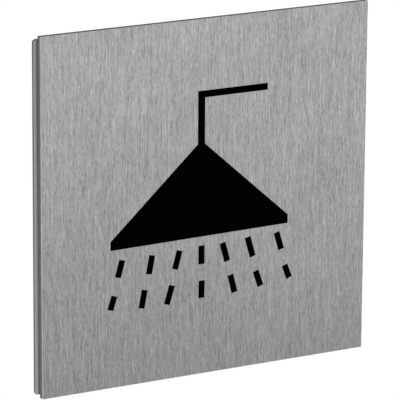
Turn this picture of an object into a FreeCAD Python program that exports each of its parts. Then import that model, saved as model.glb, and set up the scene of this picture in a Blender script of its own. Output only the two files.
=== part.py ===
import FreeCAD, Part
import math
import os

import Sketcher

# Shower door sign: a brushed steel plate on a foam mounting pad, with the pictogram etched and filled.
# X runs to the right, Z up and Y into the door. The origin is on the door's surface, behind the
# middle of the front plate. All sizes are in millimetres and degrees.

SIZES = {
    "plate_width": 150.0,
    "plate_height": 150.0,
    "plate_thickness": 2.0,
    "plate_corner": 0.5,
    "plate_rim": 0.15,
    "pad_width": 147.0,
    "pad_height": 147.0,
    "pad_thickness": 1.0,
    "pad_corner": 1.4,
    "pad_rim": 0.25,
    # the pad is stuck on to the left of the plate's middle, so that a strip of it shows, and by hand
    "pad_shift": 3.6,
    "pad_tilt": 0.1,
    "etch_depth": 0.3,
    "fill_shortfall": 0.05,
    # the pipe: a level arm that ends at the right, and the stem that drops from it
    "arm_top": 45.25,
    "arm_width": 2.9,
    "arm_reach": 32.3,
    "stem_offset": 2.6,
    "stem_width": 3.25,
    # the head: a wide funnel with an upright rim, drawn a little out of level
    "shoulder_height": 23.1,
    "head_width": 82.2,
    "rim_height": 3.7,
    "head_offset": 2.9,
    "head_base": 16.1,
    "head_tilt": 0.8,
    # the spray: two rows of short dashes under the head
    "dash_width": 2.8,
}

# The dashes of the spray's two rows, from left to right: how far the middle of each lies to the right of
# the head's middle, how far below the head's base, its tilt away from the stem and its length.
UPPER_ROW = {
    "reach": (-36.9, -23.0, -10.7, 0.5, 11.4, 23.3, 36.9),
    "drop": (8.2, 8.5, 8.3, 7.8, 8.2, 7.7, 7.1),
    "tilt": (-16.4, -11.8, -16.0, -1.2, 14.9, 15.7, 16.3),
    "length": (7.4, 8.0, 8.0, 7.9, 8.4, 9.0, 7.9),
}
LOWER_ROW = {
    "reach": (-40.6, -26.6, -14.5, 0.4, 14.9, 27.0, 40.7),
    "drop": (22.2, 22.6, 22.7, 22.5, 22.3, 21.9, 20.9),
    "tilt": (-18.3, -12.0, -17.8, -2.1, 13.4, 18.6, 20.5),
    "length": (6.1, 7.8, 8.2, 7.4, 8.0, 7.2, 6.2),
}
SPRAY_ROWS = {"upper": UPPER_ROW, "lower": LOWER_ROW}

START, END = 1, 2
SKETCH_ORIGIN = (-1, 1)
MATCH_TOLERANCE = 1e-4


def add_sizes(doc):
    """Write every driving size to the sheet, one named cell each."""
    sizes = dict(SIZES)
    for row, table in SPRAY_ROWS.items():
        for name, values in table.items():
            for number, value in enumerate(values, start=1):
                sizes[f"{row}{number}_{name}"] = value
    sheet = doc.addObject("Spreadsheet::Sheet", "Dimensions")
    for row, (name, value) in enumerate(sizes.items(), start=1):
        sheet.set(f"A{row}", name.replace("_", " "))
        sheet.set(f"B{row}", str(value))
        sheet.setAlias(f"B{row}", name)
    doc.recompute()
    return sheet


def size(name):
    """Name a sheet cell the way an expression reads it."""
    return f"Dimensions.{name}"


def number_of(owner, expression):
    """Work out an expression and return it as a plain number."""
    result = owner.evalExpression(expression)
    return float(getattr(result, "Value", result))


def add_body(doc, label):
    """Start a body whose label is the name of the piece."""
    body = doc.addObject("PartDesign::Body", label)
    body.Label = label
    return body


def add_front_sketch(body, label, standoff=None):
    """Add a sketch that faces the viewer, on the body's XZ plane or at a standoff in front of it."""
    plane = next(item for item in body.Origin.OriginFeatures if item.Role == "XZ_Plane")
    sketch = body.newObject("Sketcher::SketchObject", label)
    sketch.AttachmentSupport = [(plane, "")]
    sketch.MapMode = "FlatFace"
    if standoff:
        sketch.setExpression("AttachmentOffset.Base.z", standoff)
    return sketch


def bind(sketch, name, expression, kind, *places, angle=False):
    """Add a sizing constraint, name it and tie it to the sheet."""
    value = number_of(sketch, expression)
    start_value = FreeCAD.Units.Quantity(f"{value} deg") if angle else value
    index = sketch.addConstraint(Sketcher.Constraint(kind, *places, start_value))
    sketch.renameConstraint(index, name)
    sketch.setExpression(f"Constraints.{name}", expression)


def draw_loop(sketch, corners):
    """Draw a closed loop of straight lines through the corners and return the lines' numbers."""
    points = [FreeCAD.Vector(x, z, 0) for x, z in corners]
    ends = points[1:] + points[:1]
    lines = [
        sketch.addGeometry(Part.LineSegment(begin, end), False)
        for begin, end in zip(points, ends)
    ]
    for line, following in zip(lines, lines[1:] + lines[:1]):
        sketch.addConstraint(Sketcher.Constraint("Coincident", line, END, following, START))
    return lines


def place_midpoint(sketch, name, first, second, x_expression, z_expression):
    """Fix the point midway between two corners at a place given from the sketch's origin."""
    place = FreeCAD.Vector(number_of(sketch, x_expression), number_of(sketch, z_expression), 0)
    point = sketch.addGeometry(Part.Point(place), True)
    sketch.addConstraint(Sketcher.Constraint("Symmetric", *first, *second, point, START))
    bind(sketch, f"{name}_x", x_expression, "DistanceX", *SKETCH_ORIGIN, point, START)
    bind(sketch, f"{name}_z", z_expression, "DistanceY", *SKETCH_ORIGIN, point, START)


def draw_rounded_panel(sketch, width, height, corner, centre_x="0"):
    """Draw an upright rectangle with four rounded corners, all sizes given as expressions."""
    half_width = number_of(sketch, width) / 2
    half_height = number_of(sketch, height) / 2
    radius = number_of(sketch, corner)
    middle = number_of(sketch, centre_x)
    corners = ((1, 1), (-1, 1), (-1, -1), (1, -1))
    centres = [
        FreeCAD.Vector(middle + side * (half_width - radius), level * (half_height - radius), 0)
        for side, level in corners
    ]
    outward = FreeCAD.Vector(0, 0, 1)
    quarter = math.pi / 2
    arcs = [
        sketch.addGeometry(
            Part.ArcOfCircle(Part.Circle(centre, outward, radius), turn * quarter, (turn + 1) * quarter)
        )
        for turn, centre in enumerate(centres)
    ]
    lines = [
        sketch.addGeometry(
            Part.LineSegment(sketch.Geometry[arc].EndPoint, sketch.Geometry[following].StartPoint)
        )
        for arc, following in zip(arcs, arcs[1:] + arcs[:1])
    ]
    for arc, line, following in zip(arcs, lines, arcs[1:] + arcs[:1]):
        sketch.addConstraint(Sketcher.Constraint("Tangent", arc, END, line, START))
        sketch.addConstraint(Sketcher.Constraint("Tangent", line, END, following, START))
    top, left, bottom, right = lines
    sketch.addConstraint(Sketcher.Constraint("Horizontal", top))
    sketch.addConstraint(Sketcher.Constraint("Vertical", left))
    for arc in arcs[1:]:
        sketch.addConstraint(Sketcher.Constraint("Equal", arcs[0], arc))
    bind(sketch, "corner", corner, "Radius", arcs[0])
    bind(sketch, "width", width, "DistanceX", left, START, right, START)
    bind(sketch, "height", height, "DistanceY", bottom, START, top, START)
    left_x = f"{centre_x} - {width} / 2"
    base_z = f"-{height} / 2"
    bind(sketch, "left_side", left_x, "DistanceX", *SKETCH_ORIGIN, left, START)
    bind(sketch, "underside", base_z, "DistanceY", *SKETCH_ORIGIN, bottom, START)


def draw_pipe_and_head(sketch):
    """Draw the shower's pipe and head as one outline, from the arm's left end round by the head."""
    stem_left = -SIZES["stem_offset"] - SIZES["stem_width"] / 2
    stem_right = stem_left + SIZES["stem_width"]
    arm_end = stem_left + SIZES["arm_reach"]
    arm_foot = SIZES["arm_top"] - SIZES["arm_width"]
    head_left = -SIZES["head_offset"] - SIZES["head_width"] / 2
    head_right = head_left + SIZES["head_width"]
    base = -SIZES["head_base"]
    rim_top = base + SIZES["rim_height"]
    lines = draw_loop(
        sketch,
        (
            (stem_left, SIZES["arm_top"]),
            (stem_left, SIZES["shoulder_height"]),
            (head_left, rim_top),
            (head_left, base),
            (head_right, base),
            (head_right, rim_top),
            (stem_right, SIZES["shoulder_height"]),
            (stem_right, arm_foot),
            (arm_end, arm_foot),
            (arm_end, SIZES["arm_top"]),
        ),
    )
    stem_side, left_slope, left_rim, rim_base, right_rim, right_slope = lines[:6]
    other_side, arm_underside, arm_mouth, arm_upper = lines[6:]
    for upright in (stem_side, other_side, arm_mouth):
        sketch.addConstraint(Sketcher.Constraint("Vertical", upright))
    for level in (arm_underside, arm_upper):
        sketch.addConstraint(Sketcher.Constraint("Horizontal", level))
    sketch.addConstraint(Sketcher.Constraint("Horizontal", stem_side, END, other_side, START))
    for rim in (left_rim, right_rim):
        sketch.addConstraint(Sketcher.Constraint("Perpendicular", rim, rim_base))
    stem_x = f"-{size('stem_offset')} - {size('stem_width')} / 2"
    bind(sketch, "stem_left", stem_x, "DistanceX", *SKETCH_ORIGIN, stem_side, START)
    bind(sketch, "stem_width", size("stem_width"), "DistanceX", stem_side, END, other_side, START)
    bind(sketch, "arm_top", size("arm_top"), "DistanceY", *SKETCH_ORIGIN, stem_side, START)
    bind(sketch, "arm_width", size("arm_width"), "DistanceY", arm_mouth, START, arm_mouth, END)
    bind(sketch, "arm_reach", size("arm_reach"), "DistanceX", stem_side, START, arm_mouth, END)
    bind(sketch, "shoulder", size("shoulder_height"), "DistanceY", *SKETCH_ORIGIN, stem_side, END)
    bind(sketch, "head_width", size("head_width"), "Distance", rim_base)
    bind(sketch, "left_rim", size("rim_height"), "Distance", left_rim)
    bind(sketch, "right_rim", size("rim_height"), "Distance", right_rim)
    bind(sketch, "head_tilt", f"{size('head_tilt')} * 1 deg", "Angle", rim_base, angle=True)
    place_midpoint(
        sketch,
        "head",
        (rim_base, START),
        (rim_base, END),
        f"-{size('head_offset')}",
        f"-{size('head_base')}",
    )


def dash_expressions(name):
    """Give the place, direction and length of one dash of the spray as expressions.

    The place is measured along and across the head's base, which is out of level.
    """
    tilt = f"{size('head_tilt')} * 1 deg"
    reach = size(f"{name}_reach")
    drop = size(f"{name}_drop")
    return {
        "x": f"-{size('head_offset')} + {reach} * cos({tilt}) + {drop} * sin({tilt})",
        "z": f"-{size('head_base')} + {reach} * sin({tilt}) - {drop} * cos({tilt})",
        "angle": f"(90 + {size(f'{name}_tilt')} + {size('head_tilt')}) * 1 deg",
        "length": size(f"{name}_length"),
    }


def draw_dash(sketch, name):
    """Draw one leaning dash as a rectangle about its middle."""
    dash = dash_expressions(name)
    x, z, angle, length = (number_of(sketch, dash[key]) for key in ("x", "z", "angle", "length"))
    width = number_of(sketch, size("dash_width"))
    turn = FreeCAD.Rotation(FreeCAD.Vector(0, 0, 1), angle)
    middle = FreeCAD.Vector(x, z, 0)
    corners = [
        middle + turn.multVec(FreeCAD.Vector(along * length / 2, across * width / 2, 0))
        for along, across in ((-1, -1), (1, -1), (1, 1), (-1, 1))
    ]
    long_side, short_side, far_side, near_side = draw_loop(
        sketch, [(corner.x, corner.y) for corner in corners]
    )
    sketch.addConstraint(Sketcher.Constraint("Parallel", long_side, far_side))
    sketch.addConstraint(Sketcher.Constraint("Parallel", short_side, near_side))
    sketch.addConstraint(Sketcher.Constraint("Perpendicular", long_side, short_side))
    bind(sketch, f"{name}_angle", dash["angle"], "Angle", long_side, angle=True)
    bind(sketch, f"{name}_length", dash["length"], "Distance", long_side)
    bind(sketch, f"{name}_width", size("dash_width"), "Distance", short_side)
    place_midpoint(sketch, name, (long_side, START), (far_side, START), dash["x"], dash["z"])


def draw_spray(sketch):
    """Draw both rows of dashes."""
    for row, table in SPRAY_ROWS.items():
        for number in range(1, len(table["length"]) + 1):
            draw_dash(sketch, f"{row}{number}")


def add_pad(body, sketch, label, length):
    """Raise the sketch towards the viewer by a length given as an expression."""
    pad = body.newObject("PartDesign::Pad", label)
    pad.Profile = sketch
    pad.setExpression("Length", length)
    sketch.Visibility = False
    return pad


def front_rim_edges(shape):
    """Name the edges round the shape's frontmost face, which looks along -Y."""
    front = shape.BoundBox.YMin
    return [
        f"Edge{number}"
        for number, edge in enumerate(shape.Edges, start=1)
        if abs(edge.BoundBox.YMin - front) < MATCH_TOLERANCE
        and abs(edge.BoundBox.YMax - front) < MATCH_TOLERANCE
    ]


def round_front_rim(doc, body, blank, label, radius):
    """Round the edges of the body's front face by a radius given as an expression."""
    doc.recompute()
    rim = body.newObject("PartDesign::Fillet", label)
    rim.Base = (blank, front_rim_edges(blank.Shape))
    rim.setExpression("Radius", radius)
    doc.recompute()
    return rim


def build_mounting_pad(doc):
    """Build the foam pad, which lies on the door, carries the plate and has a soft die-cut rim."""
    body = add_body(doc, "mounting_pad")
    for axis, share in (("x", 0), ("y", 1), ("z", 0)):
        body.setExpression(f"Placement.Rotation.Axis.{axis}", str(share))
    body.setExpression("Placement.Rotation.Angle", size("pad_tilt"))
    sketch = add_front_sketch(body, "PadOutline")
    draw_rounded_panel(
        sketch, size("pad_width"), size("pad_height"), size("pad_corner"), f"-{size('pad_shift')}"
    )
    blank = add_pad(body, sketch, "PadSheet", size("pad_thickness"))
    round_front_rim(doc, body, blank, "SoftRim", size("pad_rim"))
    return body


def build_front_plate(doc):
    """Build the steel plate, with its front rim broken and the pictogram etched into its face."""
    body = add_body(doc, "front_plate")
    body.setExpression("Placement.Base.y", f"-{size('pad_thickness')}")
    outline = add_front_sketch(body, "PlateOutline")
    draw_rounded_panel(outline, size("plate_width"), size("plate_height"), size("plate_corner"))
    blank = add_pad(body, outline, "PlateBlank", size("plate_thickness"))
    rim = round_front_rim(doc, body, blank, "BrokenRim", size("plate_rim"))
    artwork = add_front_sketch(body, "EtchedPictogram", size("plate_thickness"))
    draw_pipe_and_head(artwork)
    draw_spray(artwork)
    etching = body.newObject("PartDesign::Pocket", "Etching")
    etching.Profile = artwork
    etching.setExpression("Length", size("etch_depth"))
    artwork.Visibility = False
    doc.recompute()
    check_etching(rim, etching)
    return body


def check_etching(before, etching):
    """Make sure that the etching took away its whole area to its whole depth."""
    artwork = etching.Profile[0]
    area = sum(Part.Face(wire).Area for wire in artwork.Shape.Wires)
    expected = area * etching.Length.Value
    removed = before.Shape.Volume - etching.Shape.Volume
    if abs(removed - expected) > MATCH_TOLERANCE * expected:
        raise ValueError(f"the etching removed {removed:.3f} mm3 in place of {expected:.3f} mm3")


def build_fill(doc, label, draw_artwork):
    """Build the enamel that fills a part of the etching, a little below the plate's face."""
    body = add_body(doc, label)
    floor = f"-({size('pad_thickness')} + {size('plate_thickness')} - {size('etch_depth')})"
    body.setExpression("Placement.Base.y", floor)
    sketch = add_front_sketch(body, f"{label}_outline")
    draw_artwork(sketch)
    add_pad(body, sketch, f"{label}_layer", f"{size('etch_depth')} - {size('fill_shortfall')}")
    return body


def check_document(doc, bodies):
    """Stop at a failed feature or at a piece that is empty or not valid."""
    for item in doc.Objects:
        if "Invalid" in item.State or "Error" in item.State:
            raise ValueError(f"{item.Label} is {item.State}")
    for body in bodies:
        if body.Shape.isNull() or not body.Shape.isValid() or not body.Shape.Solids:
            raise ValueError(f"{body.Label} has no valid solid")


def main():
    """Build the sign and write each piece to its own file."""
    doc = FreeCAD.newDocument("shower_door_sign")
    add_sizes(doc)
    bodies = [
        build_mounting_pad(doc),
        build_front_plate(doc),
        build_fill(doc, "shower_fill", draw_pipe_and_head),
        build_fill(doc, "spray_fill", draw_spray),
    ]
    doc.recompute()
    check_document(doc, bodies)
    os.makedirs("parts", exist_ok=True)
    for body in bodies:
        body.Shape.exportStep(f"parts/{body.Label}.step")
        print(f"{body.Label}: {len(body.Shape.Solids)} solid, {body.Shape.Volume:.1f} mm3")


main()
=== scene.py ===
import logging
import math
from dataclasses import dataclass, field
from enum import Enum
from typing import Any

import bmesh
import bpy
from mathutils import Matrix, Vector


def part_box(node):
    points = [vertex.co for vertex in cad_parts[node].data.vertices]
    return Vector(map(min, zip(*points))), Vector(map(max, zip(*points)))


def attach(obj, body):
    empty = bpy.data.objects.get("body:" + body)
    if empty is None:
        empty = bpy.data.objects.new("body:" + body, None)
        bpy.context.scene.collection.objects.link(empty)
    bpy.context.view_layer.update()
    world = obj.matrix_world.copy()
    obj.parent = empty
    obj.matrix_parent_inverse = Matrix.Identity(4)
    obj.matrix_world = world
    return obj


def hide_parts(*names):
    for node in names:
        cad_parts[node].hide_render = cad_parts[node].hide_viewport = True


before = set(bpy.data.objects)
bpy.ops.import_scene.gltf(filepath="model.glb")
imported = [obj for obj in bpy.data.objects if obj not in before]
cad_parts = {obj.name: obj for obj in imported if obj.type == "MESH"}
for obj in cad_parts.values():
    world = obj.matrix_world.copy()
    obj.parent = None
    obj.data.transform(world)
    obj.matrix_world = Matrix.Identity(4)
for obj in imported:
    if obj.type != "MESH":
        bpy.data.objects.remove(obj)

LOG = logging.getLogger("shower_sign")
MM = 0.001
BODY = "root"
MERGE_DISTANCE = 0.001 * MM
FLAT_ANGLE = math.radians(1.0)
LENGTH_DIGITS = 6
# A normal whose Y is below this belongs to a face that looks at the viewer.
FACES_VIEWER = -0.9


class Slot(Enum):
    """The record's material slots."""

    STEEL = "brushed_steel"
    ENAMEL = "black_enamel"
    FOAM = "grey_foam"


class Node(Enum):
    """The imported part's nodes."""

    PLATE = "front_plate"
    SHOWER = "shower_fill"
    SPRAY = "spray_fill"
    PAD = "mounting_pad"


class NodeBench:
    """Adds nodes to one tree and joins them, so that a finish reads as a recipe."""

    def __init__(self, tree: bpy.types.NodeTree) -> None:
        """Empty the tree and keep it.

        Args:
            tree: The node tree to work on.
        """
        self.tree = tree
        tree.nodes.clear()

    def feed(self, socket: bpy.types.NodeSocket, value: Any) -> None:
        """Join an output to the socket, or set the socket to a plain value.

        Args:
            socket: The input to fill.
            value: Another node's output, or a number, colour or name.
        """
        if isinstance(value, bpy.types.NodeSocket):
            self.tree.links.new(value, socket)
        else:
            socket.default_value = value

    def add(self, kind: str, inputs: dict[str | int, Any] | None = None, **settings: Any) -> bpy.types.Node:
        """Add a node with its settings and inputs.

        Args:
            kind: Blender's name of the node's type.
            inputs: What goes into each named or numbered input.
            **settings: The node's own properties.

        Returns:
            The new node.
        """
        node = self.tree.nodes.new(kind)
        for name, value in settings.items():
            setattr(node, name, value)
        for name, value in (inputs or {}).items():
            self.feed(node.inputs[name], value)
        return node

    def math(self, operation: str, *terms: Any) -> bpy.types.NodeSocket:
        """Add a Math node.

        Args:
            operation: The sum to do, such as "ADD".
            *terms: Its one, two or three terms.

        Returns:
            The result's socket.
        """
        return self.add("ShaderNodeMath", dict(enumerate(terms)), operation=operation).outputs[0]

    def split(self, vector: Any) -> bpy.types.NodeOutputs:
        """Split a vector and return its outputs X, Y and Z."""
        return self.add("ShaderNodeSeparateXYZ", {0: vector}).outputs

    def join(self, **parts: Any) -> bpy.types.NodeSocket:
        """Join numbers, each given by its axis, into a vector and return its socket."""
        return self.add("ShaderNodeCombineXYZ", parts).outputs[0]

    def blend(self, factor: Any, first: Any, second: Any) -> bpy.types.NodeSocket:
        """Mix two numbers.

        Args:
            factor: 0 for the first, 1 for the second.
            first: The first number.
            second: The second number.

        Returns:
            The mixed number's socket.
        """
        node = self.add("ShaderNodeMix", {0: factor, 2: first, 3: second}, data_type="FLOAT")
        return node.outputs[0]

    def tint(self, factor: Any, first: Any, second: Any) -> bpy.types.NodeSocket:
        """Mix two colours.

        Args:
            factor: 0 for the first, 1 for the second.
            first: The first colour.
            second: The second colour.

        Returns:
            The mixed colour's socket.
        """
        node = self.add("ShaderNodeMix", {0: factor, 6: first, 7: second}, data_type="RGBA")
        return node.outputs[2]

    def place(self) -> bpy.types.NodeSocket:
        """Read the place on the surface, in the part's own frame."""
        return self.add("ShaderNodeTexCoord").outputs["Object"]

    def ramp(self, value: Any, start: float, end: float) -> bpy.types.NodeSocket:
        """Turn a number into a mask.

        Args:
            value: The number.
            start: Where the mask is 0.
            end: Where the mask is 1.

        Returns:
            The mask's socket.
        """
        node = self.add("ShaderNodeMapRange", {"Value": value, "From Min": start, "From Max": end})
        return node.outputs["Result"]

    def depth_facing(self) -> bpy.types.NodeSocket:
        """Read how far the surface faces the door: 1 on the back, 0 on the sides, -1 on the face."""
        return self.split(self.add("ShaderNodeNewGeometry").outputs["Normal"])["Y"]

    def noise(
        self, place: Any, seed: Any, scale: Any, detail: float, roughness: float = 0.5
    ) -> bpy.types.NodeSocket:
        """Add seeded noise, from about 0 to about 1.

        Args:
            place: The place to read it at.
            seed: Which noise it is.
            scale: How many of its features go in one unit of the place.
            detail: How many finer octaves it has.
            roughness: How much each finer octave weighs.

        Returns:
            The noise's socket.
        """
        inputs = {"Vector": place, "W": seed, "Scale": scale, "Detail": detail, "Roughness": roughness}
        return self.add("ShaderNodeTexNoise", inputs, noise_dimensions="4D").outputs["Fac"]

    def bump(self, height: Any, depth: float) -> bpy.types.NodeSocket:
        """Add relief of that depth in metres and return its normal."""
        return self.add("ShaderNodeBump", {"Height": height, "Distance": depth}).outputs["Normal"]

    def surface(self, inputs: dict[str, Any]) -> None:
        """Add the material's shader and its output.

        Args:
            inputs: What goes into the Principled BSDF's named inputs.
        """
        shader = self.add("ShaderNodeBsdfPrincipled", inputs)
        self.add("ShaderNodeOutputMaterial", {"Surface": shader.outputs[0]})

    def group(self, tree: bpy.types.NodeTree, **inputs: Any) -> bpy.types.NodeSocket:
        """Place a shader group.

        Args:
            tree: The group's tree.
            **inputs: Its inputs by name, in lower case.

        Returns:
            The group's first output.
        """
        named = {name.capitalize(): value for name, value in inputs.items()}
        node = self.add("ShaderNodeGroup", node_tree=tree)
        for name, value in named.items():
            self.feed(node.inputs[name], value)
        return node.outputs[0]


def grey(value: float) -> tuple[float, float, float, float]:
    """Give a neutral colour of that lightness."""
    return (value, value, value, 1.0)


def new_material(name: str) -> tuple[bpy.types.Material, NodeBench]:
    """Start a material.

    Args:
        name: The material's name.

    Returns:
        The material and a bench for its empty node tree.
    """
    material = bpy.data.materials.new(name)
    material.use_nodes = True
    return material, NodeBench(material.node_tree)


def new_group(name: str, inputs: dict[str, str], output: str) -> bpy.types.NodeTree:
    """Start a shader group with named sockets.

    Args:
        name: The group's name.
        inputs: The socket type of each input.
        output: The name of its one number output.

    Returns:
        The group's tree, with no nodes yet.
    """
    tree = bpy.data.node_groups.new(name, "ShaderNodeTree")
    for socket, kind in inputs.items():
        tree.interface.new_socket(socket, in_out="INPUT", socket_type=kind)
    tree.interface.new_socket(output, in_out="OUTPUT", socket_type="NodeSocketFloat")
    return tree


@dataclass(frozen=True)
class Mottle:
    """Cloudy or gritty variation that any finish can use, from 0 to 1."""

    name: str = "Mottle"
    detail: float = 3.0
    low: float = 0.3
    high: float = 0.7

    def build(self) -> bpy.types.NodeTree:
        """Build the group. Its inputs are Vector, Size in metres, and Seed.

        Returns:
            The group's tree.
        """
        sockets = {"Vector": "NodeSocketVector", "Size": "NodeSocketFloat", "Seed": "NodeSocketFloat"}
        tree = new_group(self.name, sockets, "Factor")
        bench = NodeBench(tree)
        given = bench.add("NodeGroupInput").outputs
        scale = bench.math("DIVIDE", 1.0, given["Size"])
        noise = bench.noise(given["Vector"], given["Seed"], scale, self.detail)
        bench.add("NodeGroupOutput", {"Factor": bench.ramp(noise, self.low, self.high)})
        return tree


@dataclass(frozen=True)
class Streaks:
    """Fine scratches that run along one axis and wander a little, from 0 to 1."""

    name: str = "Streaks"
    detail: float = 2.0
    roughness: float = 0.55
    low: float = 0.25
    high: float = 0.75
    wander_size: float = 14.0 * MM
    wander_detail: float = 1.0

    def build(self) -> bpy.types.NodeTree:
        """Build the group. Its inputs are Vector, Width, Length and Wander in metres, and Seed.

        The streaks run along the vector's third part.

        Returns:
            The group's tree.
        """
        sockets = {
            "Vector": "NodeSocketVector",
            "Width": "NodeSocketFloat",
            "Length": "NodeSocketFloat",
            "Wander": "NodeSocketFloat",
            "Seed": "NodeSocketFloat",
        }
        tree = new_group(self.name, sockets, "Factor")
        bench = NodeBench(tree)
        given = bench.add("NodeGroupInput").outputs
        drift = bench.noise(given["Vector"], given["Seed"], 1.0 / self.wander_size, self.wander_detail)
        offset = bench.math("MULTIPLY", bench.math("SUBTRACT", drift, 0.5), given["Wander"])
        parts = bench.split(given["Vector"])
        across = bench.math("DIVIDE", bench.math("ADD", parts["X"], offset), given["Width"])
        through = bench.math("DIVIDE", parts["Y"], given["Width"])
        along = bench.math("DIVIDE", parts["Z"], given["Length"])
        stretched = bench.join(X=across, Y=through, Z=along)
        noise = bench.noise(stretched, given["Seed"], 1.0, self.detail, self.roughness)
        bench.add("NodeGroupOutput", {"Factor": bench.ramp(noise, self.low, self.high)})
        return tree


@dataclass(frozen=True)
class Effects:
    """The shader groups that the finishes share."""

    mottle: bpy.types.NodeTree
    streaks: bpy.types.NodeTree

    @classmethod
    def build(cls) -> "Effects":
        """Build each group once."""
        return cls(mottle=Mottle().build(), streaks=Streaks().build())


@dataclass(frozen=True)
class GrainLayer:
    """One size of scratch or cut mark in the steel."""

    width: float
    length: float
    weight: float
    seed: float

    def add(
        self, bench: NodeBench, place: bpy.types.NodeSocket, effects: Effects, wander: float
    ) -> bpy.types.NodeSocket:
        """Add the scratches of this size.

        Args:
            bench: The material's bench.
            place: The place on the surface, with its third part along the scratches.
            effects: The shared shader groups.
            wander: How far they wander sideways, in metres.

        Returns:
            The scratches, from 0 to 1.
        """
        return bench.group(
            effects.streaks,
            vector=place,
            width=self.width,
            length=self.length,
            wander=wander,
            seed=self.seed,
        )


@dataclass(frozen=True)
class BrushedSteel:
    """Satin stainless steel, brushed upright on its face and laser cut round its sides.

    The cut look begins on the eased rims, where the normal's depth part falls from side_start, and is
    whole at side_end. No width of grain divides the 3 mm between the face and the origin, because the
    noise is weak in the planes of its own grid.
    """

    valley: float = 0.08
    crest: float = 0.84
    cut_edge: float = 0.65
    cut_edge_crest: float = 0.7
    valley_roughness: float = 0.46
    crest_roughness: float = 0.38
    side_start: float = 0.99
    side_end: float = 0.85
    cut_roughness: float = 0.75
    cut_metallic: float = 0.06
    cut_gloss: float = 0.0
    anisotropy: float = 0.55
    wander: float = 0.4 * MM
    layers: tuple[GrainLayer, ...] = (
        GrainLayer(width=0.22 * MM, length=1.7 * MM, weight=0.44, seed=1.0),
        GrainLayer(width=0.26 * MM, length=5.2 * MM, weight=0.39, seed=4.0),
        GrainLayer(width=0.32 * MM, length=22.0 * MM, weight=0.22, seed=7.0),
        GrainLayer(width=1.60 * MM, length=30.0 * MM, weight=0.07, seed=9.0),
    )
    cloud_size: float = 45.0 * MM
    cloud_weight: float = 0.06
    cloud_seed: float = 2.0
    cut_mark: GrainLayer = GrainLayer(width=0.3 * MM, length=2.5 * MM, weight=1.0, seed=11.0)
    cut_wander: float = 0.1 * MM
    # A painted highlight along the face's left edge, strongest low down: how far in it reaches, how high it
    # goes, and how bright it is.
    highlight_full: float = 0.35 * MM
    highlight_end: float = 0.7 * MM
    highlight_below: float = -20.0 * MM
    highlight_up_to: float = 50.0 * MM
    highlight_strength: float = 0.5
    relief: float = 0.012 * MM

    def build(self, effects: Effects) -> bpy.types.Material:
        """Build the material.

        Args:
            effects: The shared shader groups.

        Returns:
            The finished material.
        """
        material, bench = new_material("BrushedSteel")
        place = bench.place()
        grain = self.add_grain(bench, place, effects)
        cut = self.add_cut_marks(bench, place, effects)
        side = bench.ramp(bench.math("ABSOLUTE", bench.depth_facing()), self.side_start, self.side_end)
        plain_colour = bench.tint(grain, grey(self.valley), grey(self.crest))
        # Near the left edge the face colour is pushed towards the crest tone: a painted highlight, not a
        # mark in the steel.
        face_colour = bench.tint(self.add_painted_edge_highlight(bench, place), plain_colour, grey(self.crest))
        side_colour = bench.tint(cut, grey(self.cut_edge), grey(self.cut_edge_crest))
        rubbed = bench.blend(grain, self.valley_roughness, self.crest_roughness)
        bench.surface(
            {
                "Base Color": bench.tint(side, face_colour, side_colour),
                "Metallic": bench.blend(side, 1.0, self.cut_metallic),
                "Roughness": bench.blend(side, rubbed, self.cut_roughness),
                "Anisotropic": self.anisotropy,
                "Specular IOR Level": self.cut_gloss,
                "Normal": bench.bump(bench.blend(side, grain, cut), self.relief),
            }
        )
        return material

    def add_grain(
        self, bench: NodeBench, place: bpy.types.NodeSocket, effects: Effects
    ) -> bpy.types.NodeSocket:
        """Add the scratches of every size and a faint cloudiness, and sum them about the middle.

        Args:
            bench: The material's bench.
            place: The place on the surface.
            effects: The shared shader groups.

        Returns:
            The grain, from 0 to 1.
        """
        cloud = bench.group(effects.mottle, vector=place, size=self.cloud_size, seed=self.cloud_seed)
        total = bench.math("MULTIPLY_ADD", bench.math("SUBTRACT", cloud, 0.5), self.cloud_weight, 0.5)
        for layer in self.layers:
            streaks = layer.add(bench, place, effects, self.wander)
            total = bench.math("MULTIPLY_ADD", bench.math("SUBTRACT", streaks, 0.5), layer.weight, total)
        return bench.math("MAXIMUM", bench.math("MINIMUM", total, 1.0), 0.0)

    def add_painted_edge_highlight(self, bench: NodeBench, place: bpy.types.NodeSocket) -> bpy.types.NodeSocket:
        """Add a painted highlight: the face is painted brighter along its left edge, as if the rim caught
        the light.

        It is strongest low down and fades towards the top.

        Args:
            bench: The material's bench.
            place: The place on the surface.

        Returns:
            How strongly the highlight is painted on, from 0 to 1.
        """
        left_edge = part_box(Node.PLATE.value)[0].x
        parts = bench.split(place)
        nearness = bench.ramp(parts["X"], left_edge + self.highlight_end, left_edge + self.highlight_full)
        lowness = bench.ramp(parts["Z"], self.highlight_up_to, self.highlight_below)
        return bench.math("MULTIPLY", bench.math("MULTIPLY", nearness, lowness), self.highlight_strength)

    def add_cut_marks(
        self, bench: NodeBench, place: bpy.types.NodeSocket, effects: Effects
    ) -> bpy.types.NodeSocket:
        """Add the marks that the laser leaves across the sheet's thickness.

        Args:
            bench: The material's bench.
            place: The place on the surface.
            effects: The shared shader groups.

        Returns:
            The marks, from 0 to 1.
        """
        parts = bench.split(place)
        turned = bench.join(X=parts["X"], Y=parts["Z"], Z=parts["Y"])
        return self.cut_mark.add(bench, turned, effects, self.cut_wander)


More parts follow.
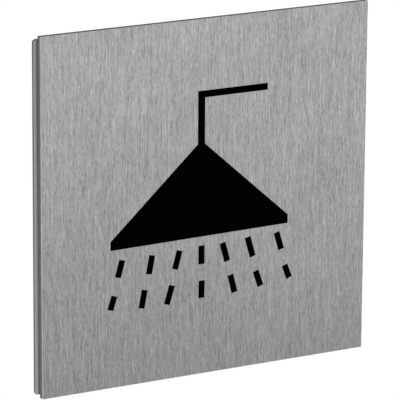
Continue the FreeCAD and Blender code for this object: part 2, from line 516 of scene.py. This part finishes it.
@dataclass(frozen=True)
class BlackEnamel:
    """Dull black enamel, levelled in the etching as it cured."""

    deep: float = 0.0002
    pale: float = 0.0008
    gloss: float = 0.006
    smooth_roughness: float = 0.49
    grit_roughness: float = 0.61
    cloud_size: float = 9.0 * MM
    cloud_seed: float = 21.0
    grit_size: float = 0.35 * MM
    grit_seed: float = 22.0
    relief: float = 0.004 * MM

    def build(self, effects: Effects) -> bpy.types.Material:
        """Build the material.

        Args:
            effects: The shared shader groups.

        Returns:
            The finished material.
        """
        material, bench = new_material("BlackEnamel")
        place = bench.place()
        cloud = bench.group(effects.mottle, vector=place, size=self.cloud_size, seed=self.cloud_seed)
        grit = bench.group(effects.mottle, vector=place, size=self.grit_size, seed=self.grit_seed)
        bench.surface(
            {
                "Base Color": bench.tint(cloud, grey(self.deep), grey(self.pale)),
                "Roughness": bench.blend(grit, self.smooth_roughness, self.grit_roughness),
                "Specular IOR Level": self.gloss,
                "Normal": bench.bump(grit, self.relief),
            }
        )
        return material


@dataclass(frozen=True)
class GreyFoam:
    """Smooth closed-cell foam, with a film on its faces and open cells where its sides were cut.

    The cut look begins where the normal's depth part falls from side_start, and is whole at side_end.
    The glue's shine shows on the back, where that part rises from glue_start to glue_end.
    """

    film_dark: float = 0.51
    film_light: float = 0.55
    cut_dark: float = 0.44
    cut_light: float = 0.68
    cell_share: float = 0.25
    side_start: float = 0.9
    side_end: float = 0.3
    glue_start: float = 0.9
    glue_end: float = 0.99
    film_roughness: float = 0.6
    cut_roughness: float = 0.85
    glue_roughness: float = 0.3
    gloss: float = 0.5
    cloud_size: float = 6.0 * MM
    cloud_seed: float = 31.0
    patch_size: float = 4.0 * MM
    patch_seed: float = 33.0
    cell_size: float = 0.22 * MM
    relief: float = 0.012 * MM

    def build(self, effects: Effects) -> bpy.types.Material:
        """Build the material.

        Args:
            effects: The shared shader groups.

        Returns:
            The finished material.
        """
        material, bench = new_material("GreyFoam")
        place = bench.place()
        cells = bench.add(
            "ShaderNodeTexVoronoi", {"Vector": place, "Scale": 1.0 / self.cell_size}, feature="SMOOTH_F1"
        ).outputs["Distance"]
        cloud = bench.group(effects.mottle, vector=place, size=self.cloud_size, seed=self.cloud_seed)
        facing = bench.depth_facing()
        side = bench.ramp(bench.math("ABSOLUTE", facing), self.side_start, self.side_end)
        glue = bench.ramp(facing, self.glue_start, self.glue_end)
        film_colour = bench.tint(cloud, grey(self.film_dark), grey(self.film_light))
        patches = bench.group(effects.mottle, vector=place, size=self.patch_size, seed=self.patch_seed)
        cut_tone = bench.blend(self.cell_share, patches, cells)
        cut_colour = bench.tint(cut_tone, grey(self.cut_dark), grey(self.cut_light))
        film_roughness = bench.blend(glue, self.film_roughness, self.glue_roughness)
        bench.surface(
            {
                "Base Color": bench.tint(side, film_colour, cut_colour),
                "Roughness": bench.blend(side, film_roughness, self.cut_roughness),
                "Specular IOR Level": self.gloss,
                "Normal": bench.bump(bench.math("MULTIPLY", cells, side), self.relief),
            }
        )
        return material


@dataclass(frozen=True)
class Finishes:
    """One material for each of the record's slots."""

    materials: dict[Slot, bpy.types.Material]

    @classmethod
    def build(cls) -> "Finishes":
        """Build the shared groups, then each finish.

        Returns:
            The finishes by slot.
        """
        effects = Effects.build()
        return cls(
            {
                Slot.STEEL: BrushedSteel().build(effects),
                Slot.ENAMEL: BlackEnamel().build(effects),
                Slot.FOAM: GreyFoam().build(effects),
            }
        )

    def dress(self, piece: bpy.types.Object, slot: Slot) -> None:
        """Give a piece the finish of a slot.

        Args:
            piece: The object to dress.
            slot: The slot whose finish it takes.
        """
        piece.data.materials.clear()
        piece.data.materials.append(self.materials[slot])


def add_piece(name: str, mesh: bpy.types.Mesh) -> bpy.types.Object:
    """Put a mesh in the scene as an object at the origin.

    Args:
        name: The piece's name.
        mesh: Its mesh, already in place.

    Returns:
        The new object.
    """
    piece = bpy.data.objects.new(name, mesh)
    bpy.context.scene.collection.objects.link(piece)
    return piece


def aim(thing: bpy.types.Object, place: Vector, target: Vector) -> None:
    """Put a lamp or a card somewhere and turn it to a target.

    Args:
        thing: What to place. It looks along its own -Z.
        place: Where it goes.
        target: What it looks at.
    """
    thing.location = place
    thing.rotation_mode = "QUATERNION"
    thing.rotation_quaternion = (target - place).to_track_quat("-Z", "Y")


@dataclass
class FrontPlate:
    """The brushed plate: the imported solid, dressed."""

    def build(self, finishes: Finishes) -> None:
        """Dress the plate.

        Args:
            finishes: The materials by slot.
        """
        finishes.dress(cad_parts[Node.PLATE.value], Slot.STEEL)
        LOG.info("front plate dressed")


@dataclass
class MountingPad:
    """The foam pad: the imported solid, dressed."""

    def build(self, finishes: Finishes) -> None:
        """Dress the pad.

        Args:
            finishes: The materials by slot.
        """
        finishes.dress(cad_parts[Node.PAD.value], Slot.FOAM)
        LOG.info("mounting pad dressed")


def merged_copy(node: Node) -> bmesh.types.BMesh:
    """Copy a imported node's mesh, with its loose triangles joined into whole faces.

    Args:
        node: The node to copy.

    Returns:
        The copy. Its user frees it.
    """
    shape = bmesh.new()
    shape.from_mesh(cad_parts[node.value].data)
    bmesh.ops.remove_doubles(shape, verts=shape.verts, dist=MERGE_DISTANCE)
    bmesh.ops.dissolve_limit(shape, angle_limit=FLAT_ANGLE, verts=shape.verts, edges=shape.edges)
    return shape


def add_enamel(mesh: bpy.types.Mesh, name: str, node: Node, finishes: Finishes) -> None:
    """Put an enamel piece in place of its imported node.

    Args:
        mesh: The piece's mesh.
        name: The piece's name.
        node: The node that it stands for.
        finishes: The materials by slot.
    """
    piece = add_piece(name, mesh)
    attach(piece, BODY)
    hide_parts(node.value)
    finishes.dress(piece, Slot.ENAMEL)
    LOG.info("%s: %d faces", name, len(mesh.polygons))


@dataclass(frozen=True)
class Cove:
    """How enamel climbs the wall of its etching as it cures."""

    width: float = 0.12 * MM
    rise: float = 0.03 * MM


@dataclass
class ShowerEnamel:
    """The enamel of the pipe and the head, with a cove all round."""

    cove: Cove = field(default_factory=Cove)
    steps: int = 3

    def build(self, finishes: Finishes) -> None:
        """Shrink the front face in steps and leave each rim higher towards the wall.

        Args:
            finishes: The materials by slot.
        """
        shape = merged_copy(Node.SHOWER)
        front = [face for face in shape.faces if face.normal.y < FACES_VIEWER]
        step_width = self.cove.width / self.steps
        heights = [self.cove.rise * (1.0 - step / self.steps) ** 2 for step in range(self.steps)]
        for height in heights:
            rim = {vertex for face in front for vertex in face.verts}
            bmesh.ops.inset_region(shape, faces=front, thickness=step_width, use_even_offset=True)
            for vertex in rim:
                vertex.co.y -= height
        mesh = bpy.data.meshes.new("shower_enamel")
        shape.to_mesh(mesh)
        shape.free()
        add_enamel(mesh, "shower_enamel", Node.SHOWER, finishes)


@dataclass(frozen=True)
class Dash:
    """One dash of the spray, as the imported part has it."""

    middle: Vector
    lean: float
    length: float
    width: float
    depth: float


@dataclass
class SprayEnamel:
    """The fourteen dashes of the spray, set along their streams by Geometry Nodes."""

    cove: Cove = field(default_factory=Cove)

    @staticmethod
    def read_dashes() -> list[Dash]:
        """Read each dash's middle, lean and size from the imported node.

        Returns:
            The dashes, from left to right.
        """
        shape = merged_copy(Node.SPRAY)
        left_over = set(shape.verts)
        dashes = []
        while left_over:
            corners, edges, todo = set(), set(), [left_over.pop()]
            while todo:
                corner = todo.pop()
                corners.add(corner)
                edges.update(corner.link_edges)
                todo += [v for e in corner.link_edges for v in e.verts if v not in corners]
            left_over -= corners
            middle = sum((corner.co for corner in corners), Vector()) / len(corners)
            sides = sorted({round(edge.calc_length(), LENGTH_DIGITS) for edge in edges})
            longest = max(edges, key=lambda edge: edge.calc_length())
            along = longest.verts[1].co - longest.verts[0].co
            along *= math.copysign(1.0, along.z)
            dashes.append(Dash(middle, math.atan2(along.x, along.z), sides[-1], sides[1], sides[0]))
        shape.free()
        return sorted(dashes, key=lambda dash: dash.middle.x)

    def add_stations(self, dashes: list[Dash]) -> bpy.types.Object:
        """Lay one point in the middle of each dash, with its lean and length.

        Args:
            dashes: The dashes to lay out.

        Returns:
            The object that carries the points.
        """
        mesh = bpy.data.meshes.new("spray_stations")
        mesh.from_pydata([dash.middle for dash in dashes], [], [])
        for name in ("lean", "length"):
            values = mesh.attributes.new(name, "FLOAT", "POINT")
            values.data.foreach_set("value", [getattr(dash, name) for dash in dashes])
        return add_piece("spray_stations", mesh)

    @staticmethod
    def build_tree() -> bpy.types.NodeTree:
        """Build the tree that sets a coved dash at each station.

        Returns:
            The Geometry Nodes tree.
        """
        tree = bpy.data.node_groups.new("SprayDashes", "GeometryNodeTree")
        tree.interface.new_socket("Stations", in_out="INPUT", socket_type="NodeSocketGeometry")
        for name in ("Dash Width", "Dash Depth", "Mean Length", "Cove Width", "Cove Rise"):
            tree.interface.new_socket(name, in_out="INPUT", socket_type="NodeSocketFloat")
        tree.interface.new_socket("Enamel", in_out="INPUT", socket_type="NodeSocketMaterial")
        tree.interface.new_socket("Dashes", in_out="OUTPUT", socket_type="NodeSocketGeometry")
        bench = NodeBench(tree)
        given = bench.add("NodeGroupInput").outputs
        full_depth = bench.math("ADD", given["Dash Depth"], given["Cove Rise"])
        size = bench.join(X=given["Dash Width"], Y=full_depth, Z=given["Mean Length"])
        block = bench.add("GeometryNodeMeshCube", {"Size": size})
        facing = bench.split(bench.add("GeometryNodeInputNormal").outputs[0])["Y"]
        front = bench.add("FunctionNodeCompare", {0: facing, 1: FACES_VIEWER}, operation="LESS_THAN")
        rim = bench.add(
            "GeometryNodeExtrudeMesh",
            {"Mesh": block.outputs["Mesh"], "Selection": front.outputs[0], "Offset Scale": 0.0},
        )
        shape = rim.outputs["Mesh"]
        for axis, full in (((1.0, 0.0, 0.0), "Dash Width"), ((0.0, 0.0, 1.0), "Mean Length")):
            share = bench.math("DIVIDE", bench.math("MULTIPLY", given["Cove Width"], 2.0), given[full])
            shape = bench.add(
                "GeometryNodeScaleElements",
                {
                    "Geometry": shape,
                    "Selection": rim.outputs["Top"],
                    "Scale": bench.math("SUBTRACT", 1.0, share),
                    "Axis": axis,
                },
                scale_mode="SINGLE_AXIS",
            ).outputs[0]
        dish = bench.join(Y=given["Cove Rise"])
        shape = bench.add(
            "GeometryNodeSetPosition",
            {"Geometry": shape, "Selection": rim.outputs["Top"], "Offset": dish},
        ).outputs[0]
        settle = bench.join(Y=bench.math("MULTIPLY", given["Cove Rise"], -0.5))
        dash = bench.add("GeometryNodeSetPosition", {"Geometry": shape, "Offset": settle}).outputs[0]
        lean, length = (
            bench.add(
                "GeometryNodeInputNamedAttribute", {"Name": name}, data_type="FLOAT"
            ).outputs["Attribute"]
            for name in ("lean", "length")
        )
        turn = bench.add("FunctionNodeEulerToRotation", {0: bench.join(Y=lean)})
        stretch = bench.math("DIVIDE", length, given["Mean Length"])
        placed = bench.add(
            "GeometryNodeInstanceOnPoints",
            {
                "Points": given["Stations"],
                "Instance": dash,
                "Rotation": turn.outputs[0],
                "Scale": bench.join(X=1.0, Y=1.0, Z=stretch),
            },
        )
        real = bench.add("GeometryNodeRealizeInstances", {"Geometry": placed.outputs[0]})
        coated = bench.add(
            "GeometryNodeSetMaterial", {"Geometry": real.outputs[0], "Material": given["Enamel"]}
        )
        bench.add("NodeGroupOutput", {"Dashes": coated.outputs[0]})
        return tree

    def build(self, finishes: Finishes) -> None:
        """Run the tree on the stations and keep its result as a plain mesh.

        Args:
            finishes: The materials by slot.
        """
        dashes = self.read_dashes()
        stations = self.add_stations(dashes)
        tree = self.build_tree()
        modifier = stations.modifiers.new("Dashes", "NODES")
        modifier.node_group = tree
        sizes = {
            "Dash Width": dashes[0].width,
            "Dash Depth": dashes[0].depth,
            "Mean Length": sum(dash.length for dash in dashes) / len(dashes),
            "Cove Width": self.cove.width,
            "Cove Rise": self.cove.rise,
            "Enamel": finishes.materials[Slot.ENAMEL],
        }
        for item in tree.interface.items_tree:
            if item.in_out == "INPUT" and item.name in sizes:
                modifier[item.identifier] = sizes[item.name]
        graph = bpy.context.evaluated_depsgraph_get()
        mesh = bpy.data.meshes.new_from_object(stations.evaluated_get(graph))
        mesh.name = "spray_enamel"
        bpy.data.objects.remove(stations)
        add_enamel(mesh, "spray_enamel", Node.SPRAY, finishes)


@dataclass(frozen=True)
class SoftLamp:
    """A square soft lamp that the metal doesn't mirror."""

    name: str
    place: tuple[float, float, float]
    power: float
    size: float = 0.6

    def build(self) -> None:
        """Stand the lamp at its place, turned to the sign."""
        lamp = bpy.data.lights.new(self.name, "AREA")
        lamp.shape = "SQUARE"
        lamp.size = self.size
        lamp.energy = self.power
        holder = bpy.data.objects.new(self.name, lamp)
        bpy.context.scene.collection.objects.link(holder)
        aim(holder, Vector(self.place), Vector())
        holder.visible_glossy = False


@dataclass(frozen=True)
class Card:
    """A bright card that only mirrored rays meet, which lights a part of the metal."""

    name: str
    place: tuple[float, float, float]
    width: float
    height: float
    light: float
    target: tuple[float, float, float] = (0.0, 0.0, -0.05)

    def build(self) -> None:
        """Stand the card at its place, turned to its target."""
        shape = bmesh.new()
        bmesh.ops.create_grid(shape, x_segments=1, y_segments=1, size=0.5)
        mesh = bpy.data.meshes.new(self.name)
        shape.to_mesh(mesh)
        shape.free()
        card = add_piece(self.name, mesh)
        aim(card, Vector(self.place), Vector(self.target))
        card.scale = (self.width, self.height, 1.0)
        card.visible_camera = False
        card.visible_diffuse = False
        card.visible_shadow = False
        material, bench = new_material(self.name)
        lit = bench.add("ShaderNodeEmission", {"Color": grey(1.0), "Strength": self.light})
        bench.add("ShaderNodeOutputMaterial", {"Surface": lit.outputs[0]})
        mesh.materials.append(material)


@dataclass
class Studio:
    """The pale floor, the white surroundings, the soft lamps and the card.

    The floor shows its own colour up to fade_start from the origin, and plain white from fade_end on.
    """

    floor_level: float = -0.6
    floor_radius: float = 6.0
    floor_sides: int = 96
    fade_start: float = 0.54
    fade_end: float = 1.26
    floor_colour: float = 0.8
    fill: float = 0.27
    fill_overhead: float = 0.0
    floor_shine: float = 0.25
    floor_lift: float = 0.7
    lamps: tuple[SoftLamp, ...] = (
        SoftLamp("Key", place=(0.4, -1.15, -0.15), power=7.0),
        SoftLamp("Back", place=(0.3, 1.15, -0.1), power=7.0),
    )
    card: Card = Card("LowCard", place=(0.33, -0.55, -0.46), width=1.4, height=0.45, light=0.45)

    def build(self) -> None:
        """Build everything round the object."""
        self.add_world()
        self.add_floor()
        for lamp in self.lamps:
            lamp.build()
        self.card.build()
        LOG.info("studio built")

    @staticmethod
    def seen_directly(bench: NodeBench) -> bpy.types.NodeSocket:
        """Add a mask for rays from the camera, and those that metal or glass sends on.

        Args:
            bench: The bench of the world or of a material.

        Returns:
            The mask's socket.
        """
        path = bench.add("ShaderNodeLightPath").outputs
        mirrored = bench.math("MAXIMUM", path["Is Glossy Ray"], path["Is Transmission Ray"])
        return bench.math("MAXIMUM", path["Is Camera Ray"], mirrored)

    def add_world(self) -> None:
        """Surround the object with white, and light it from all round at a lower level, less from above."""
        world = bpy.data.worlds.new("White")
        world.use_nodes = True
        bpy.context.scene.world = world
        bench = NodeBench(world.node_tree)
        direction = bench.split(bench.add("ShaderNodeTexCoord").outputs["Generated"])
        height = bench.math("MAXIMUM", direction["Z"], 0.0)
        fill = bench.blend(height, self.fill, self.fill_overhead)
        strength = bench.blend(self.seen_directly(bench), fill, 1.0)
        background = bench.add("ShaderNodeBackground", {"Color": grey(1.0), "Strength": strength})
        bench.add("ShaderNodeOutputWorld", {"Surface": background.outputs[0]})

    def add_floor(self) -> None:
        """Lay a pale floor that keeps the object's shadow and fades to white away from it."""
        shape = bmesh.new()
        bmesh.ops.create_circle(
            shape,
            cap_ends=True,
            segments=self.floor_sides,
            radius=self.floor_radius,
            matrix=Matrix.Translation((0.0, 0.0, self.floor_level)),
        )
        mesh = bpy.data.meshes.new("Floor")
        shape.to_mesh(mesh)
        shape.free()
        mesh.materials.append(self.build_floor_paint())
        add_piece("Floor", mesh)

    def build_floor_paint(self) -> bpy.types.Material:
        """Build the floor's material, which can be seen from above only.

        Returns:
            The material.
        """
        material, bench = new_material("PaleFloor")
        seen = self.seen_directly(bench)
        reach = bench.add("ShaderNodeVectorMath", {0: bench.place()}, operation="LENGTH").outputs["Value"]
        far = bench.add(
            "ShaderNodeMapRange",
            {"Value": reach, "From Min": self.fade_start, "From Max": self.fade_end},
            interpolation_type="SMOOTHSTEP",
        ).outputs["Result"]
        direct = bench.add("ShaderNodeLightPath").outputs["Is Camera Ray"]
        lift_level = bench.blend(direct, bench.math("MULTIPLY", seen, self.floor_shine), self.floor_lift)
        paint = bench.add("ShaderNodeBsdfDiffuse", {"Color": grey(self.floor_colour)})
        lift = bench.add("ShaderNodeEmission", {"Color": grey(1.0), "Strength": lift_level})
        near = bench.add("ShaderNodeAddShader", {0: paint.outputs[0], 1: lift.outputs[0]})
        white = bench.add("ShaderNodeEmission", {"Color": grey(1.0), "Strength": 1.0})
        shown = bench.add(
            "ShaderNodeMixShader",
            {0: bench.math("MULTIPLY", far, seen), 1: near.outputs[0], 2: white.outputs[0]},
        )
        clear = bench.add("ShaderNodeBsdfTransparent")
        below = bench.add("ShaderNodeNewGeometry").outputs["Backfacing"]
        one_sided = bench.add("ShaderNodeMixShader", {0: below, 1: shown.outputs[0], 2: clear.outputs[0]})
        bench.add("ShaderNodeOutputMaterial", {"Surface": one_sided.outputs[0]})
        return material


@dataclass(frozen=True)
class ViewCamera:
    """The camera at the picture's angle, worked out from the plate's four sides.

    The angles are in degrees, the lens in millimetres and the rest in metres.
    """

    lens: float = 305.41
    azimuth: float = -28.4034
    elevation: float = 15.6162
    roll: float = 0.3476
    distance: float = 1.38359
    right: float = -2.7595 * MM
    up: float = -0.8346 * MM
    nearest_seen: float = 0.05
    farthest_seen: float = 50.0

    def build(self) -> None:
        """Make the camera and use it."""
        turn, lift, roll = (math.radians(angle) for angle in (self.azimuth, self.elevation, self.roll))
        back = Vector((math.sin(turn) * math.cos(lift), -math.cos(turn) * math.cos(lift), math.sin(lift)))
        level_right = Vector((0.0, 0.0, 1.0)).cross(back).normalized()
        level_up = back.cross(level_right)
        right = math.cos(roll) * level_right + math.sin(roll) * level_up
        up = math.cos(roll) * level_up - math.sin(roll) * level_right
        face_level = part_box(Node.PLATE.value)[0].y
        place = Vector((0.0, face_level, 0.0)) + back * self.distance + right * self.right + up * self.up
        data = bpy.data.cameras.new("View")
        data.lens = self.lens
        data.clip_start, data.clip_end = self.nearest_seen, self.farthest_seen
        camera = bpy.data.objects.new("View", data)
        bpy.context.scene.collection.objects.link(camera)
        turned = Matrix((right, up, back)).transposed()
        camera.matrix_world = Matrix.Translation(place) @ turned.to_4x4()
        bpy.context.scene.camera = camera
        LOG.info("camera placed")


def main() -> None:
    """Dress the sign and set it in its studio."""
    logging.basicConfig(level=logging.INFO, format="%(name)s: %(message)s")
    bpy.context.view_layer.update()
    bpy.context.scene.view_settings.view_transform = "Standard"
    finishes = Finishes.build()
    FrontPlate().build(finishes)
    MountingPad().build(finishes)
    ShowerEnamel().build(finishes)
    SprayEnamel().build(finishes)
    Studio().build()
    ViewCamera().build()


if __name__ == "__main__":
    main()
